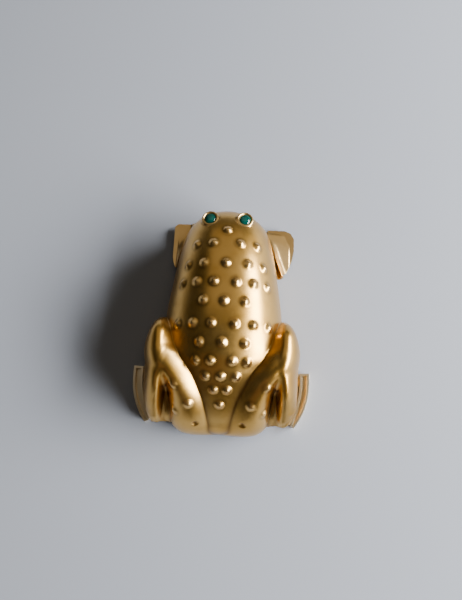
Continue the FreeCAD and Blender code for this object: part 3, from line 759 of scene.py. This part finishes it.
def finish_cad_nodes():
    """Every CAD node that stays takes the finish of its own material slot."""
    for entry in frame["record"]["subparts"]:
        node = nodes[entry["node"]]
        node.data.materials.clear()
        node.data.materials.append(FINISHES[entry["material_slot"]])
    for name in ("left_hind_leg", "right_hind_leg"):
        # Painted sheen: the feet take a pale gold that stands in for the light on their rims.
        nodes[name].data.materials[0] = FOOT_GOLD_PAINTED_SHEEN
        round_edges(nodes[name], FOOT_EDGE)
    for name in ("winding_key", "belly_plate"):
        round_edges(nodes[name], CUT_EDGE)


def round_edges(piece, width):
    """Rounds a piece's sharp edges a little, as stamping leaves them."""
    weld = piece.modifiers.new("weld", "WELD")
    weld.merge_threshold = 0.001 * MM
    edge = piece.modifiers.new("edge", "BEVEL")
    edge.width = width * MM
    edge.segments = 3
    edge.limit_method = "ANGLE"
    edge.angle_limit = math.radians(40)
    edge.harden_normals = False


# ---------------------------------------------------------------- pieces


def make_back_shell():
    """The stamped back, in place of the CAD's plain one."""
    outer, proud, painted_shade = build_back_shell()
    shell = close_shell(outer, proud, painted_shade)
    piece = finish_piece(shell, "warty_back", "frog_frame", SHAPED_GOLD)
    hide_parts("back_shell")


def aim(look):
    """A turn that brings +Z round to a given way."""
    return Vector((0, 0, 1)).rotation_difference(Vector(look)).to_matrix().to_4x4()


STONE_RADIUS = 1.56
STONE_HEIGHT = 0.85
STONE_CUT = -0.3
STONE_SINK = -0.05


def make_eye(side, node):
    """A low domed glass stone in its collar."""
    seat, look = eye_place(side)
    stone = bmesh.new()
    bmesh.ops.create_uvsphere(stone, u_segments=48, v_segments=32, radius=1.0)
    below = [v for v in stone.verts if v.co.z < STONE_CUT]
    bmesh.ops.delete(stone, geom=below, context="VERTS")
    bmesh.ops.holes_fill(stone, edges=[e for e in stone.edges if e.is_boundary])
    bmesh.ops.scale(stone, vec=(STONE_RADIUS, STONE_RADIUS, STONE_HEIGHT), verts=stone.verts)
    place = Matrix.Translation(Vector(seat) + Vector(look) * STONE_SINK) @ aim(look)
    bmesh.ops.transform(stone, matrix=place, verts=stone.verts)
    piece = finish_piece(stone, node + "_stone", "frog_frame", GREEN_GLASS)
    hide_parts(node)


PAW_LEFT = 15.6
PAW_RIGHT = 19.0
PAW_TIN = 0.48
PAW_EDGE = 0.1
STRIP_FRONT = 19.4


def bend(value, *pairs):
    """A line bent at the given points, read at a value."""
    return np.interp(value, [p[0] for p in pairs], [p[1] for p in pairs])


def paw_rear(x):
    """The rear edge of the paw strip, from the left paw to the right one."""
    right = bend(x, (0, 15.2), (11, 15.2), (15.3, 13.5), (17.1, 16.1), (18.4, 19.1), (19.0, 22.3))
    left = bend(-x, (0, 15.2), (11, 15.6), (14.6, 15.6), (15.3, 17.4), (15.6, 19.0))
    return np.where(x > 0, right, left)


def paw_front(x):
    """The front edge of the paw strip; each paw reaches further forward than the strip."""
    right = STRIP_FRONT + 9.0 * smooth((x - 9.0) / 2.4) - bend(x, (16.4, 0), (18.0, 0.7), (19.0, 2.4))
    left = STRIP_FRONT + 9.7 * smooth((-x - 7.8) / 2.4) - bend(-x, (14.6, 0), (15.3, 0.5), (15.6, 1.2))
    return np.where(x > 0, right, left)


def paw_level(x, y):
    """The top of the paw strip: flat under the belly, down under the rim, and up to a ridge that
    leans on the flank before it slopes out to the table."""
    side = np.abs(x)
    flank = np.sqrt(np.maximum(np.interp(y, *LOBES[0]["outer"]), 0)) + 0.85
    ridge = np.where(x > 0, np.maximum(flank, 15.6 - 0.36 * (y - 13.8)), flank)
    reach = np.where(x > 0, PAW_RIGHT, PAW_LEFT)
    out = side - ridge
    plate = np.where(x > 0, 2.6, 2.2) - 0.13 * out - 1.7 * smooth((side - reach + 1.4) / 1.0)
    fold = np.where(x > 0, 1.7, 0.8) * smooth((26.5 - y) / 9) * np.exp(-((out / 0.9) ** 2))
    wall = 1.9 + (0.7 + fold) * smooth(1 + out / 0.75)
    level = np.where(out > 0, np.maximum(plate + fold, 0.5), wall)
    curl = np.clip(1 - (paw_front(x) - y) / 1.7, 0, 1) * smooth((side - 10) / 2)
    level = np.maximum(level - 1.5 * curl**2, 0.5)
    inside = bend(side, (8.4, 5.4), (8.8, 5.2), (10.7, 2.1), (11.1, 1.9))
    return np.where(side < 9.9, inside, np.maximum(inside, np.where(side > 10.6, level, 1.9)))


def make_paws():
    """The strip of tin with both paws, in place of the CAD's plainer one."""
    low, high = box_mm("front_legs")
    mesh = bmesh.new()
    bmesh.ops.create_grid(mesh, x_segments=300, y_segments=70, size=1.0)
    flat = read_points(mesh)
    x = low.x + (high.x - low.x) * (flat[:, 0] + 1) / 2
    share = (flat[:, 1] + 1) / 2
    y = paw_rear(x) + (paw_front(x) - paw_rear(x)) * share
    write_points(mesh, np.column_stack([x, y, paw_level(x, y)]))
    piece = finish_piece(mesh, "paw_strip", "frog_frame", PAW_GOLD)
    sheet = piece.modifiers.new("sheet", "SOLIDIFY")
    sheet.thickness = PAW_TIN * MM
    sheet.offset = -1
    edge = piece.modifiers.new("edge", "BEVEL")
    edge.width = PAW_EDGE * MM
    edge.segments = 2
    edge.limit_method = "ANGLE"
    edge.angle_limit = math.radians(50)
    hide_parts("front_legs")


# ---------------------------------------------------------------- stage


def make_floor():
    """A plain pale table top."""
    floor = bmesh.new()
    bmesh.ops.create_grid(floor, x_segments=1, y_segments=1, size=3.0)
    data = bpy.data.meshes.new("table_top")
    floor.to_mesh(data)
    floor.free()
    table_top = bpy.data.objects.new("table_top", data)
    bpy.context.scene.collection.objects.link(table_top)
    material, tree, shader = new_material("pale_cloth")
    shader.inputs["Base Color"].default_value = (0.262, 0.288, 0.345, 1)
    shader.inputs["Roughness"].default_value = 0.9
    data.materials.append(material)


def make_light(name, place, target, size, power, color, height=None):
    """A soft panel of light that faces its target."""
    light = bpy.data.lights.new(name, "AREA")
    light.shape = "RECTANGLE"
    light.size = size
    light.size_y = height or size
    light.energy = power
    light.color = color
    lamp = bpy.data.objects.new(name, light)
    bpy.context.scene.collection.objects.link(lamp)
    lamp.location = place
    lamp.rotation_euler = (Vector(target) - Vector(place)).to_track_quat("-Z", "Y").to_euler()


def around(turn, rise, distance):
    """A place round the frog: turn from +X towards +Y, rise over the table, both in degrees."""
    a = math.radians(turn)
    e = math.radians(rise)
    return (
        distance * math.cos(e) * math.cos(a),
        distance * math.cos(e) * math.sin(a),
        distance * math.sin(e),
    )


def make_lights():
    """A window on the frog's right, a warm ceiling ahead, and a little fill from behind."""
    middle = (0, 0, 0.01)
    make_light("window_light", around(-2, 30, 0.5), middle, 0.6, 15.0, (1.0, 0.97, 0.92), 0.21)
    make_light("ceiling_light", around(92, 54, 0.9), middle, 1.0, 1.1, (1.0, 0.86, 0.66))
    make_light("rear_fill", around(-105, 40, 0.7), middle, 0.5, 0.1, (1.0, 0.62, 0.4))
    make_air()


def make_air():
    """Dim air overhead that grows pale towards the horizon."""
    world = bpy.data.worlds.new("studio_air")
    world.use_nodes = True
    tree = world.node_tree
    air = tree.nodes["Background"]
    place = add_node(tree, "ShaderNodeTexCoord")
    split = add_node(tree, "ShaderNodeSeparateXYZ")
    fade = add_node(tree, "ShaderNodeMapRange", interpolation_type="SMOOTHSTEP")
    fade.inputs["From Min"].default_value = 0.02
    fade.inputs["From Max"].default_value = 0.2
    fade.inputs["To Min"].default_value = 0.25
    fade.inputs["To Max"].default_value = 0.04
    tree.links.new(place.outputs["Generated"], split.inputs["Vector"])
    tree.links.new(split.outputs["Z"], fade.inputs["Value"])
    tree.links.new(fade.outputs["Result"], air.inputs["Strength"])
    air.inputs["Color"].default_value = (1.0, 0.94, 0.85, 1)
    bpy.context.scene.world = world


FOCAL_LENGTH = 27.6
CAMERA_PLACE = (1.6, -23.4, 127.0)
CAMERA_DOWN = 76.3
CAMERA_ROLL = 2.7


def make_camera():
    """Looks down on the frog's back from behind, held a little crooked."""
    lens = bpy.data.cameras.new("camera")
    lens.sensor_fit = "AUTO"
    lens.sensor_width = 36.0
    lens.lens = FOCAL_LENGTH
    lens.clip_start = 0.005
    camera = bpy.data.objects.new("camera", lens)
    bpy.context.scene.collection.objects.link(camera)
    down = math.radians(CAMERA_DOWN)
    roll = math.radians(CAMERA_ROLL)
    ahead = Vector((0, math.cos(down), -math.sin(down)))
    over = Vector((0, math.sin(down), math.cos(down)))
    side = Vector((1, 0, 0))
    right = side * math.cos(roll) + over * math.sin(roll)
    top = over * math.cos(roll) - side * math.sin(roll)
    turn = Matrix((right, top, -ahead)).transposed().to_4x4()
    camera.matrix_world = Matrix.Translation(Vector(CAMERA_PLACE) * MM) @ turn
    bpy.context.scene.camera = camera


finish_cad_nodes()
make_back_shell()
make_eye(-1, "left_eye")
make_eye(1, "right_eye")
make_paws()
make_floor()
make_lights()
make_camera()
